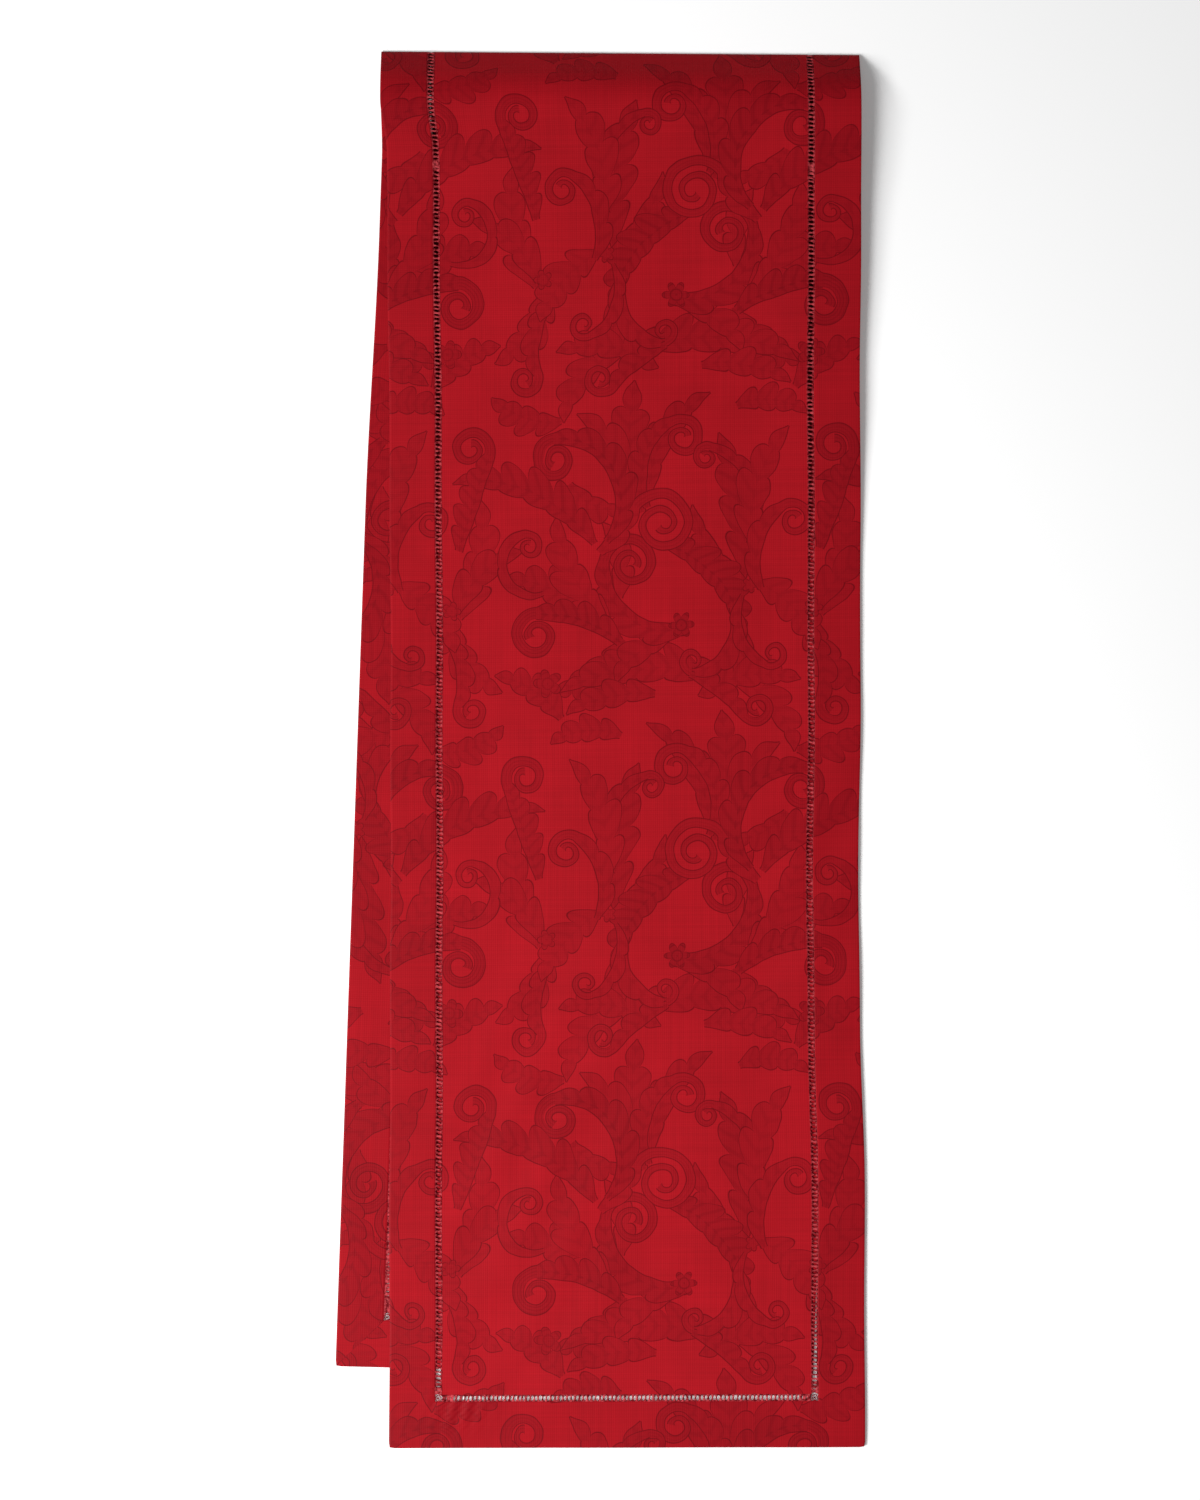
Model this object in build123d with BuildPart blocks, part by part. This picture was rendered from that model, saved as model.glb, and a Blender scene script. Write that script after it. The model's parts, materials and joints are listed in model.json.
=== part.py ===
"""Hemstitched damask table runner, folded once across its middle and laid flat.

The runner is one long cloth with a hem on all four sides. Between the hem and the panel
some threads are drawn out, and the rest are bound into a ladder of open slots. The lower
leaf lies wrong side up on the table, the upper leaf lies right side up on top of it, and
the crease between them is at +Y. Behind the crease the cloth rises into a soft swell and
comes down again in a long slope. Crease, top of the swell and foot of the slope are hinge
lines parallel to X, so the runner opens out flat.

Each zone is drawn in the cloth's own plane: u across the cloth, v along it, and the
plane's normal on the wrong side of the cloth. The origin is the middle of the footprint,
on the table.
"""
from build123d import *
import os
from math import asin, cos, degrees, floor, pi, radians, sin, sqrt

os.makedirs("parts", exist_ok=True)

# The cloth, opened flat
cloth_width = 402.0
upper_length = 1180.0  # from the crease to the end of the upper leaf
lower_length = 1104.0  # from the crease to the end of the lower leaf
cloth_lean = 1.05  # degrees between the cloth's length and the square of the crease
ply = 0.4  # one thickness of damask
hem_plies = 2

# The hem and its hemstitching
hem_width = 39.4
ladder_width = 5.2
ladder_thickness = 0.3
slot_width = 3.8
slot_pitch = 3.5
bar_width = 1.2
ladder_end_margin = 0.6
mitre_seam_width = 0.6
wheel_eyelet_radius = 0.5
wheel_eyelet_circle = 1.6

# The swell behind the crease, and the long slope down from it
swell_height = 20.0
swell_length = 38.0  # of cloth, from the crease to the top of the swell
slope_length = 370.0
crease_clearance = 2.6  # each leaf stops this far short of the crease
fold_clearance = 0.5  # each zone stops this far short of the other two fold lines
leaf_clearance = 0.3  # between the hems of the two leaves

half_width = cloth_width / 2
hem_inner = half_width - hem_width
panel_half = hem_inner - ladder_width
hem_thickness = ply * hem_plies
lean = radians(cloth_lean)

# The upper leaf lies level on the lower one, with the hems of both between them.
leaf_rise = 2 * (hem_thickness - ply / 2) + leaf_clearance
slope_tilt = asin((swell_height - leaf_rise) / slope_length)
swell_angle = pi - asin(swell_height / swell_length)

# Fold lines: how far along the cloth each lies from the crease, and the zone after each.
line_places = [0.0, swell_length, swell_length + slope_length]
line_clearances = [crease_clearance, fold_clearance, fold_clearance]
zone_angles = [swell_angle, pi + slope_tilt, pi]
line_points = [(0.0, ply / 2)]
for start, stop, angle in zip(line_places, line_places[1:], zone_angles):
    y, z = line_points[-1]
    line_points.append((y + (stop - start) * cos(angle), z + (stop - start) * sin(angle)))

# The footprint, measured from the crease, and its middle.
left_reach = half_width * cos(lean) + lower_length * sin(lean)
right_reach = half_width * cos(lean) + upper_length * sin(lean)
upper_reach = upper_length * cos(lean) + half_width * sin(lean)
front_reach = upper_reach - line_places[2] - line_points[2][0]
back_reach = crease_clearance * cos(swell_angle) + ply / 2 * sin(swell_angle)
middle_x = (right_reach - left_reach) / 2
middle_y = (back_reach - front_reach) / 2


def zone_plane(angle, line):
    """The cloth's plane in one zone, with its origin on the cloth's middle at the crease."""
    y, z = line_points[line]
    along = -line_places[line]
    return Plane(
        origin=(-middle_x, y + along * cos(angle) - middle_y, z + along * sin(angle)),
        x_dir=(cos(lean), -sin(lean) * cos(angle), -sin(lean) * sin(angle)),
        z_dir=(0, -sin(angle), cos(angle)),
    )


def fold_line(u, line, side):
    """Place along the cloth where a zone ends, short of a fold line, at u across it."""
    along = line_places[line] + side * line_clearances[line]
    return (along + u * sin(lean)) / cos(lean)


def sheet(name, plane, outlines, low, high):
    """One flat piece of cloth: its outlines, raised between two heights over its plane."""
    with BuildPart() as piece:
        with BuildSketch(plane.offset(low)):
            for outline in outlines:
                with BuildLine():
                    Polyline(*outline, close=True)
                make_face()
        extrude(amount=high - low)
    finish(name, piece)


def finish(name, piece):
    """Label one finished piece and write it to its own file."""
    piece.part.label = name
    export_step(piece.part, f"parts/{name}.step")


def hemstitch(name, plane, outline, middle, run, across):
    """A drawn-thread ladder: two bound edges, with a row of slots between bars of thread."""
    slot_length = slot_pitch - bar_width
    slots = floor((run - 2 * ladder_end_margin + bar_width) / slot_pitch)
    rows = (slots, 1) if across else (1, slots)
    size = (slot_length, slot_width) if across else (slot_width, slot_length)
    with BuildPart() as piece:
        with BuildSketch(plane.offset(-ladder_thickness / 2)):
            with BuildLine():
                Polyline(*outline, close=True)
            make_face()
            with Locations(middle):
                with GridLocations(slot_pitch, slot_pitch, *rows):
                    Rectangle(*size, mode=Mode.SUBTRACT)
        extrude(amount=ladder_thickness)
    finish(name, piece)


def side_ladder(name, plane, side, starts, stops):
    """The ladder along one long side, from one end of a zone to the other."""
    inner, outer = side * panel_half, side * hem_inner
    middle_u = (inner + outer) / 2
    low, high = starts(middle_u), stops(middle_u)
    outline = [(inner, starts(inner)), (outer, starts(outer)), (outer, stops(outer)), (inner, stops(inner))]
    hemstitch(name, plane, outline, (middle_u, (low + high) / 2), abs(high - low), False)


def strip(low_u, high_u, starts, stops):
    """Outline of a strip of cloth between two places across it."""
    return [(low_u, starts(low_u)), (high_u, starts(high_u)), (high_u, stops(high_u)), (low_u, stops(low_u))]


def fold_zone_pieces(name, plane, line):
    """A zone between two fold lines: its panel, both side hems and both ladders."""
    def starts(u):
        return fold_line(u, line, 1)

    def stops(u):
        return fold_line(u, line + 1, -1)

    sheet(f"{name}_panel", plane, [strip(-panel_half, panel_half, starts, stops)], -ply / 2, ply / 2)
    for word, side in (("left", -1), ("right", 1)):
        outline = strip(side * hem_inner, side * half_width, starts, stops)
        sheet(f"{name}_{word}_hem", plane, [outline], -ply / 2, hem_thickness - ply / 2)
        side_ladder(f"{name}_{word}_hemstitch", plane, side, starts, stops)


def leaf_pieces(name, plane, line, end, way):
    """A leaf, from its fold line to its hemmed end, where way is the end's direction along v."""
    seam = mitre_seam_width / sqrt(2)
    hem_line = end - way * hem_width
    ladder_line = hem_line - way * ladder_width

    def starts(u):
        return fold_line(u, line, way)

    def panel_stops(u):
        return ladder_line

    panel = strip(-panel_half, panel_half, starts, panel_stops)
    sheet(f"{name}_panel", plane, [panel], -ply / 2, ply / 2)
    for word, side in (("left", -1), ("right", 1)):
        hem_outline = [
            (side * hem_inner, starts(side * hem_inner)),
            (side * half_width, starts(side * half_width)),
            (side * half_width, end - way * seam),
            (side * hem_inner, hem_line - way * seam),
        ]
        sheet(f"{name}_{word}_hem", plane, [hem_outline], -ply / 2, hem_thickness - ply / 2)
        side_ladder(f"{name}_{word}_hemstitch", plane, side, starts, panel_stops)

    end_hem = [
        (-half_width + seam, end),
        (half_width - seam, end),
        (hem_inner - seam, hem_line),
        (-hem_inner + seam, hem_line),
    ]
    sheet(f"{name}_end_hem", plane, [end_hem], -ply / 2, hem_thickness - ply / 2)
    ladder = strip(-panel_half, panel_half, lambda u: hem_line, panel_stops)
    middle = (0, (hem_line + ladder_line) / 2)
    hemstitch(f"{name}_end_hemstitch", plane, ladder, middle, 2 * panel_half, True)

    seams = []
    for side in (-1, 1):
        seams.append([
            (side * half_width, end),
            (side * (half_width - seam), end),
            (side * (hem_inner - seam), hem_line),
            (side * hem_inner, hem_line),
            (side * hem_inner, hem_line - way * seam),
            (side * half_width, end - way * seam),
        ])
    sheet(f"{name}_mitre_seams", plane, seams, -ply / 2, hem_thickness - ply / 2)

    wheel_u = (panel_half + hem_inner) / 2
    wheel_v = (hem_line + ladder_line) / 2
    with BuildPart() as wheels:
        with BuildSketch(plane.offset(-ladder_thickness / 2)):
            with Locations((-wheel_u, wheel_v), (wheel_u, wheel_v)):
                Rectangle(ladder_width, ladder_width)
                Circle(wheel_eyelet_radius, mode=Mode.SUBTRACT)
                with PolarLocations(wheel_eyelet_circle, 6):
                    Circle(wheel_eyelet_radius / 2, mode=Mode.SUBTRACT)
        extrude(amount=ladder_thickness)
    finish(f"{name}_corner_wheels", wheels)


leaf_pieces("lower", zone_plane(0.0, 0), 0, -lower_length, -1)
fold_zone_pieces("swell", zone_plane(zone_angles[0], 0), 0)
fold_zone_pieces("slope", zone_plane(zone_angles[1], 1), 1)
leaf_pieces("upper", zone_plane(zone_angles[2], 2), 2, upper_length, 1)

# The hinge lines of the fold, for whoever poses the runner.
for number, (y, z) in enumerate(line_points, 1):
    print(f"fold line {number}: y {y - middle_y:.4f}, z {z:.4f}")
turns = (swell_angle, pi + slope_tilt - swell_angle, slope_tilt)
print("turns in degrees, the last one back:", *(f"{degrees(turn):.4f}" for turn in turns))
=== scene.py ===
"""Looks of a hemstitched damask table runner, folded once across its middle and laid flat.

Every piece is cut and stitched flat on the bench, in the cloth's own frame: u across the
cloth, v along it from the crease, and height on the wrong side. lay_down() then folds it
over the hinge lines of the frame. Lengths are metres, and a piece's sizes are given as n * mm.
"""
import json
from math import atan2, cos, degrees, floor, hypot, pi, radians, sin, tan

import bpy
import numpy as np
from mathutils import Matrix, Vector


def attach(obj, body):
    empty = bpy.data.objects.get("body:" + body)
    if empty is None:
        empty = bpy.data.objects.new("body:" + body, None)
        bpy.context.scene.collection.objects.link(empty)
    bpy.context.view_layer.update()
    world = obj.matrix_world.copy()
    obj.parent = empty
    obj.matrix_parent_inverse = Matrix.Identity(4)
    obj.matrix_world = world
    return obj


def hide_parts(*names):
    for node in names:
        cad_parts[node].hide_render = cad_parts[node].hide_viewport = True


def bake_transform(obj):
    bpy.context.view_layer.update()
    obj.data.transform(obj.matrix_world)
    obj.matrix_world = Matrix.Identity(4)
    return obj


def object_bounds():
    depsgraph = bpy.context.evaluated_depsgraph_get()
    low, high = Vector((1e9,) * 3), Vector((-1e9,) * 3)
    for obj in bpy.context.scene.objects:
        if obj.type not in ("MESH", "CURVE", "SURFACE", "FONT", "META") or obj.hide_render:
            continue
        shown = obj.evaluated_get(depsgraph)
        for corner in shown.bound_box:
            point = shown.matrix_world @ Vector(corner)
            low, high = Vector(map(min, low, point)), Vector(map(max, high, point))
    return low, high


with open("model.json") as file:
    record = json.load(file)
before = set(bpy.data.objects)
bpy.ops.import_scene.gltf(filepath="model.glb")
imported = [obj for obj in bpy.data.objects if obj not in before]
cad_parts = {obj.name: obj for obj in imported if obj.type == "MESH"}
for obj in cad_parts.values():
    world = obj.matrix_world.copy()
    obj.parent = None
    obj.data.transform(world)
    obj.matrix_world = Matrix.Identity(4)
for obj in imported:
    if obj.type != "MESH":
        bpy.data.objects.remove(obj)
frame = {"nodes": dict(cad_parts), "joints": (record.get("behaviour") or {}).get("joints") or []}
cad_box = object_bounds()

mm = 0.001

# The cloth, opened flat
cloth_width = 402.0 * mm
upper_length = 1180.0 * mm
lower_length = 1104.0 * mm
lean = radians(1.05)  # between the cloth's length and the square of the crease
ply = 0.4 * mm
hem_width = 39.4 * mm
ladder_width = 5.2 * mm
slot_pitch = 3.5 * mm
half_width = cloth_width / 2
hem_inner = half_width - hem_width
panel_half = hem_inner - ladder_width

# The fold: hinge lines of the frame, as (y, z)
lines = {joint["name"]: joint["pos_m"][1:] for joint in frame["joints"]}
crease = lines["crease_opening"]
swell_top = lines["swell_turn"]
foot = lines["foot_turn"]
swell_length = hypot(crease[0] - swell_top[0], crease[1] - swell_top[1])
slope_length = hypot(swell_top[0] - foot[0], swell_top[1] - foot[1])
rise = atan2(swell_top[1] - crease[1], crease[0] - swell_top[0])
fall = atan2(foot[1] - swell_top[1], swell_top[0] - foot[0])
crease_x = cad_box[0].x + half_width * cos(lean) + lower_length * sin(lean)

swell_bend = 23 * mm  # of cloth, each side of the top of the swell, that takes the turn
foot_bend = 55 * mm
crease_roll = radians(7)  # extra steepness where the cloth rolls over at the crease
crease_roll_length = 6 * mm
seam_place = 28 * slot_pitch  # where the swell's pieces meet the slope's pieces
corner_round = 2.2 * mm
floor_drop = 1.3 * mm  # of the floor, so that the waves of the opened cloth stay clear of it

# How the cloth strays from the plain fold, the way it was laid down by hand
upper_drift = -9.0 * mm  # across the table, of the upper leaf's end
upper_bow = 1.0 * mm  # of its two long sides, halfway
upper_skew = 1.7 * mm  # along the table, between the two corners of its end
edge_ripple = 0.35 * mm
lower_drift = -10.2 * mm  # of the lower leaf's end
caught_left = 3.6 * mm  # how far the lower leaf's left side is caught up inside the fold
lower_lift = 0.45 * mm  # of the strip of the lower leaf that shows
lower_pull = 1.0055  # the lower leaf is smoothed out straight, a little past its nominal length
drawn_left = 5.2 * mm  # how far the sides of the upper leaf are drawn in
drawn_right = 1.4 * mm
drawn_waist = 2.6 * mm  # and the right side once more, halfway down
sag_all_over = 0.25 * mm  # how deep the upper leaf's waves are everywhere
sag_inside = 0.7 * mm  # and within the hems, and past the end of the lower leaf
sag_behind_fold = 2.4 * mm  # and where the cloth hangs between the swell and the lower leaf
soft_wave = 0.3 * mm
pucker_height = 1.25 * mm
pucker_pitch = 12 * mm


# ---------------------------------------------------------------- the shape of the laid cloth

def smooth(value, low, high):
    """0 below low, 1 above high, and a soft step between them."""
    t = np.clip((value - low) / (high - low), 0, 1)
    return t * t * (3 - 2 * t)


def profile_of_fold():
    """Height and depth of the cloth's middle along its length, from the crease on."""
    along = np.arange(0, upper_length * 1.1, 0.25 * mm)
    tilt = rise + (fall - rise) * smooth(along, swell_length - swell_bend, swell_length + swell_bend)
    tilt = tilt - fall * smooth(along, swell_length + slope_length - foot_bend,
                                swell_length + slope_length + foot_bend)
    tilt = tilt + crease_roll * (1 - smooth(along, 0, crease_roll_length))
    step = along[1] - along[0]
    y = crease[0] - np.concatenate([[0], np.cumsum(np.cos(tilt[:-1]) * step)])
    z = crease[1] + np.concatenate([[0], np.cumsum(np.sin(tilt[:-1]) * step)])
    settle = smooth(along, 0, swell_length + slope_length)
    z = z + settle * (foot[1] - z[-1])
    return along, y, z, tilt


along_cloth, fold_y, fold_z, fold_tilt = profile_of_fold()


def drawn_in(along, side):
    """How far a side of the upper leaf is drawn in by its slack, at a place along the cloth."""
    if side < 0:
        return drawn_left * smooth(along, 48 * mm, 92 * mm) * (1 - 0.45 * smooth(along, 0.45, 1.17))
    even = drawn_right * smooth(along, 60 * mm, 300 * mm) * (1 - 1.5 * smooth(along, 0.82, 0.95))
    return even + drawn_waist * np.exp(-((along - 0.72) / 0.13) ** 2)


def slack(u, along):
    """How far the upper leaf sags below its own plane: long soft waves, and puckers at a corner."""
    waves = (
        0.5
        + 0.24 * np.sin(2 * pi * (along / 0.262 + u / 0.61) + 0.9)
        + 0.15 * np.sin(2 * pi * (u / 0.173 - along / 0.47) + 2.1)
        + 0.11 * np.sin(2 * pi * (along / 0.118 + u / 0.139) + 4.0)
    )
    inside = 1 - smooth(np.abs(u), 118 * mm, 158 * mm)
    free_end = smooth(along, lower_length + 6 * mm, lower_length + 26 * mm)
    depth = sag_all_over + sag_inside * np.maximum(inside, free_end)
    hanging = smooth(along, 70 * mm, 150 * mm) * (1 - smooth(along, 250 * mm, 400 * mm))
    depth = (depth + sag_behind_fold * hanging) * smooth(along, 26 * mm, 70 * mm)
    pucker = np.exp(-((u + 140 * mm) / (19 * mm)) ** 2 - ((along - upper_length + 30 * mm) / (15 * mm)) ** 2)
    pucker = pucker_height * pucker * np.sin(2 * pi * (u + 0.25 * along) / pucker_pitch)
    soft = np.sin(2 * pi * (along / 0.088 + u / 0.067) + 2.2 * np.sin(u / 0.052 - along / 0.19))
    loose = smooth(along, 0.16, 0.3) * (0.55 + 0.45 * np.sin(along / 0.11 + u / 0.13))
    return depth * waves + soft_wave * soft * loose + pucker


def laid(u, v, height):
    """Places of points of the flat cloth in the folded runner."""
    # Round the four corners of the cloth
    over_u = np.maximum(np.abs(u) - (half_width - corner_round), 0)
    over_v = np.maximum(np.abs(v) - (np.where(v > 0, upper_length, lower_length) - corner_round), 0)
    over = np.maximum(np.hypot(over_u, over_v), 1e-9)
    pull = np.where(over > corner_round, 1 - corner_round / over, 0)
    u = u - np.sign(u) * over_u * pull
    v = v - np.sign(v) * over_v * pull

    along = v * cos(lean) - u * sin(lean)
    x = crease_x + u * cos(lean) + v * sin(lean)

    upper = along >= 0
    far = np.abs(along)
    share = u / half_width
    narrow = (np.clip(-share, 0, 1) * drawn_in(far, -1) - np.clip(share, 0, 1) * drawn_in(far, 1))
    down = far / upper_length
    shift = upper_drift * down + upper_bow * np.sin(pi * np.clip(down, 0, 1))
    ripple = edge_ripple * np.sin(far / (31 * mm) + 2 * share) * smooth(far, 60 * mm, 160 * mm)
    x_upper = x + narrow + shift + ripple
    y_upper = np.interp(far, along_cloth, fold_y) + upper_skew * (1 - share) * down ** 2
    z_upper = np.interp(far, along_cloth, fold_z)
    tilt = np.interp(far, along_cloth, fold_tilt)
    sink = slack(u, far) + height
    y_upper = y_upper - np.sin(tilt) * sink
    z_upper = z_upper - np.cos(tilt) * sink

    caught = smooth(far, 20 * mm, 90 * mm) * (1 - smooth(far, 0.15, 0.38)) * np.clip(-share, 0, 1)
    x_lower = x + lower_drift * (far / lower_length) + caught_left * caught
    uncovered = smooth(-u, 158 * mm, 196 * mm) * smooth(far, 0.3, 0.9)
    lift = lower_lift * uncovered * (1 + np.sin(far / (38 * mm)))
    return (
        np.where(upper, x_upper, x_lower),
        np.where(upper, y_upper, crease[0] - far * lower_pull),
        np.where(upper, z_upper, crease[1] + height + lift),
    )


# ---------------------------------------------------------------- bench work

def alone(piece=None):
    """Select one piece, or nothing."""
    bpy.ops.object.select_all(action="DESELECT")
    if piece is not None:
        piece.select_set(True)
        bpy.context.view_layer.objects.active = piece


def coordinates(mesh):
    """A mesh's points as one array."""
    points = np.zeros(len(mesh.vertices) * 3)
    mesh.vertices.foreach_get("co", points)
    return points.reshape(-1, 3)


def finish_modifiers(piece):
    """Apply every modifier of a piece."""
    alone(piece)
    for modifier in list(piece.modifiers):
        bpy.ops.object.modifier_apply(modifier=modifier.name)


def cut_cloth(name, columns, rows, outline, low, high, rounded=False):
    """A flat sheet: outline(a, b) gives its (u, v), for a across it and b along it, each 0 to 1."""
    alone()
    bpy.ops.mesh.primitive_grid_add(x_subdivisions=columns, y_subdivisions=rows, size=1)
    piece = bpy.context.object
    piece.name = name
    piece.data.name = name
    points = coordinates(piece.data)
    a, b = points[:, 0] + 0.5, points[:, 1] + 0.5
    if rounded:
        a = 0.5 - 0.5 * np.cos(pi * a)
    points[:, 0], points[:, 1] = outline(a, b)
    points[:, 2] = low
    piece.data.vertices.foreach_set("co", points.ravel())
    across = piece.data.attributes.new("across", "FLOAT", "POINT")
    across.data.foreach_set("value", a.astype(np.float32))
    thicken = piece.modifiers.new("plies", "SOLIDIFY")
    thicken.thickness = high - low
    thicken.offset = 1
    finish_modifiers(piece)
    if rounded:
        round_edges(piece, (low + high) / 2)
    return piece


def round_edges(piece, middle):
    """Crown a hem and round its two long edges, as a folded cloth is."""
    points = coordinates(piece.data)
    a = np.zeros(len(points), np.float32)
    piece.data.attributes["across"].data.foreach_get("value", a)
    off = np.abs(2 * a - 1)
    edge = 0.965
    crown = 0.22  # extra thickness halfway across the hem
    ridge = 0.16  # and beside the ladder, where the cloth's cut edge is turned in
    roundness = np.sqrt(1 - np.clip((off - edge) / (1 - edge), 0, 0.96) ** 2)
    turned_in = ridge * (1 - smooth(a, 0.16, 0.22))
    points[:, 2] = middle + (points[:, 2] - middle) * roundness * (1 + crown * (1 - off ** 2) + turned_in)
    piece.data.vertices.foreach_set("co", points.ravel())


def lay_down(piece, side=None, end=None):
    """Draw a flat piece's cloth map, fold the piece over the hinge lines and smooth it.

    Where side or end is given, the piece is a hem: its upper ply is the cloth turned over
    that edge, and the map is turned over with it.
    """
    mesh = piece.data
    points = coordinates(mesh)
    corners = np.zeros(len(mesh.loops), np.int32)
    mesh.loops.foreach_get("vertex_index", corners)
    cloth_map = points[corners, :2].copy()
    turned = np.zeros(len(mesh.loops), bool)
    for face in mesh.polygons:
        if face.normal.z > 0.3:
            turned[face.loop_start:face.loop_start + face.loop_total] = True
    if side is not None:
        cloth_map[turned, 0] = side * 2 * half_width - cloth_map[turned, 0]
    elif end is not None:
        cloth_map[turned, 1] = 2 * end - cloth_map[turned, 1]
    while mesh.uv_layers:
        mesh.uv_layers.remove(mesh.uv_layers[0])
    mesh.uv_layers.new(name="cloth").data.foreach_set("uv", cloth_map.ravel())
    if mesh.materials and mesh.materials[-1] == wrong_side:
        sides = [int(face.normal.z > 0.3) for face in mesh.polygons]
        mesh.polygons.foreach_set("material_index", sides)

    # Thin out at the crease, so that the two leaves meet in one line
    thin = smooth(np.abs(points[:, 1] * cos(lean) - points[:, 0] * sin(lean)), -0.6 * mm, 1.6 * mm)
    points[:, 2] = points[:, 2] * thin
    points = np.stack(laid(points[:, 0], points[:, 1], points[:, 2]), axis=1)
    mesh.vertices.foreach_set("co", points.ravel())
    mesh.update()
    alone(piece)
    bpy.ops.object.shade_smooth_by_angle(angle=radians(50))


def wear(piece, *materials):
    """Give a piece its materials: the right side first, then the wrong side."""
    piece.data.materials.clear()
    for material in materials:
        piece.data.materials.append(material)


# ---------------------------------------------------------------- materials

def colour(code):
    """An sRGB hex colour as linear red, green, blue and alpha."""
    parts = [int(code[i:i + 2], 16) / 255 for i in (1, 3, 5)]
    return [c / 12.92 if c <= 0.04045 else ((c + 0.055) / 1.055) ** 2.4 for c in parts] + [1.0]


def add(tree, kind, *inputs, output=0, **settings):
    """Add one node with its settings; inputs are values or sockets in order, None to skip."""
    made = tree.nodes.new(f"ShaderNode{kind}")
    for name, value in settings.items():
        setattr(made, name, value)
    for socket, value in zip(made.inputs, inputs):
        if isinstance(value, bpy.types.NodeSocket):
            tree.links.new(value, socket)
        elif value is not None:
            socket.default_value = value
    return made.outputs[output]


def new_group(name, inputs, outputs):
    """A node group with its sockets, its input and output nodes ready."""
    tree = bpy.data.node_groups.new(name, "ShaderNodeTree")
    for word, kind in inputs:
        tree.interface.new_socket(word, in_out="INPUT", socket_type=f"NodeSocket{kind}")
    for word, kind in outputs:
        tree.interface.new_socket(word, in_out="OUTPUT", socket_type=f"NodeSocket{kind}")
    return tree, tree.nodes.new("NodeGroupInput").outputs, tree.nodes.new("NodeGroupOutput").inputs


# The figure, in millimetres: one design repeats across the cloth, and its next row is the
# same design turned over and moved on by half the repeat, as a damask loom's harness draws it.
repeat_across = 309.6
half_repeat = 277.2
figure_line = 0.85  # width of the drawn outline
lobe_sweep = 0.032  # of a lobe for each millimetre from the spine, so that lobes point to the tip
leaf_root = 2.6  # half width of a leaf's spine where it starts
leaf_tip = 0.4  # and where it ends
leaf_fullness = 3.6  # 4 gives a leaf its full belly halfway along
leaf_scallop = 0.74  # depth of the cuts between its lobes, as a share of the blade
stem_fullness = 4.0
stem_scallop = 0.75
stem_hollow = 0.12  # share of a scroll stem's leafage on its hollow side
full_turn = 2 * pi


def apart(tree, vector):
    """The three numbers of a vector."""
    parts = tree.nodes.new("ShaderNodeSeparateXYZ")
    tree.links.new(vector, parts.inputs[0])
    return list(parts.outputs)


def figure_place(tree, where, tone, shift_across, shift_along):
    """Where a point lies in the design's own field, with the field centred on one of four places.

    The third number carries the tone drawn so far from shape to shape.
    """
    x, y, _ = apart(tree, where)
    rows = add(tree, "Math", y, half_repeat, operation="DIVIDE")
    rows = add(tree, "Math", rows, 0.5 - shift_along / half_repeat, operation="ADD")
    row = add(tree, "Math", rows, operation="FLOOR")
    along = add(tree, "Math", row, -half_repeat, y, operation="MULTIPLY_ADD")
    odd = add(tree, "Math", row, 2.0, operation="FLOORED_MODULO")
    turned = add(tree, "Math", odd, -2.0, 1.0, operation="MULTIPLY_ADD")
    across = add(tree, "Math", x, turned, operation="MULTIPLY")
    across = add(tree, "Math", across, shift_across + repeat_across / 2, shift_across - repeat_across / 2,
                 operation="WRAP")
    return add(tree, "CombineXYZ", across, along, tone)


def polar(tree, where, centre, hand, start):
    """Distance from a centre, and the angle about it from a start, in the direction of hand."""
    arm = add(tree, "VectorMath", where, centre, operation="SUBTRACT")
    turned = add(tree, "VectorMath", arm, hand, operation="MULTIPLY")
    distance = add(tree, "VectorMath", turned, output=1, operation="LENGTH")
    x, y, _ = apart(tree, turned)
    angle = add(tree, "Math", y, x, operation="ARCTAN2")
    angle = add(tree, "Math", angle, start, operation="SUBTRACT")
    return distance, add(tree, "Math", angle, full_turn, 0.0, operation="WRAP")


def draw_over(tree, where, off, half, place, fill, hatch):
    """Lay one drawn shape over the tone below it: a filled body, hatched, inside an outline."""
    x, y, below = apart(tree, where)
    valid = add(tree, "Math", place, 1.0, operation="LESS_THAN")
    far = add(tree, "Math", off, operation="ABSOLUTE")
    inside = add(tree, "Math", half, far, operation="SUBTRACT")
    cover = add(tree, "MapRange", inside, -0.35, 0.35, 0.0, 1.0)
    cover = add(tree, "Math", cover, valid, operation="MULTIPLY")
    rim = add(tree, "Math", inside, operation="ABSOLUTE")
    rim = add(tree, "MapRange", rim, figure_line, 0.25 * figure_line, 0.0, 0.95)
    rim = add(tree, "Math", rim, valid, operation="MULTIPLY")
    shade = add(tree, "MapRange", hatch, 0.1, 1.0, 0.8, 1.22)
    shade = add(tree, "Math", shade, fill, operation="MULTIPLY")
    change = add(tree, "Math", shade, below, operation="SUBTRACT")
    body = add(tree, "Math", change, cover, below, operation="MULTIPLY_ADD")
    tone = add(tree, "Math", body, rim, operation="MAXIMUM")
    return add(tree, "CombineXYZ", x, y, tone)


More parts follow.
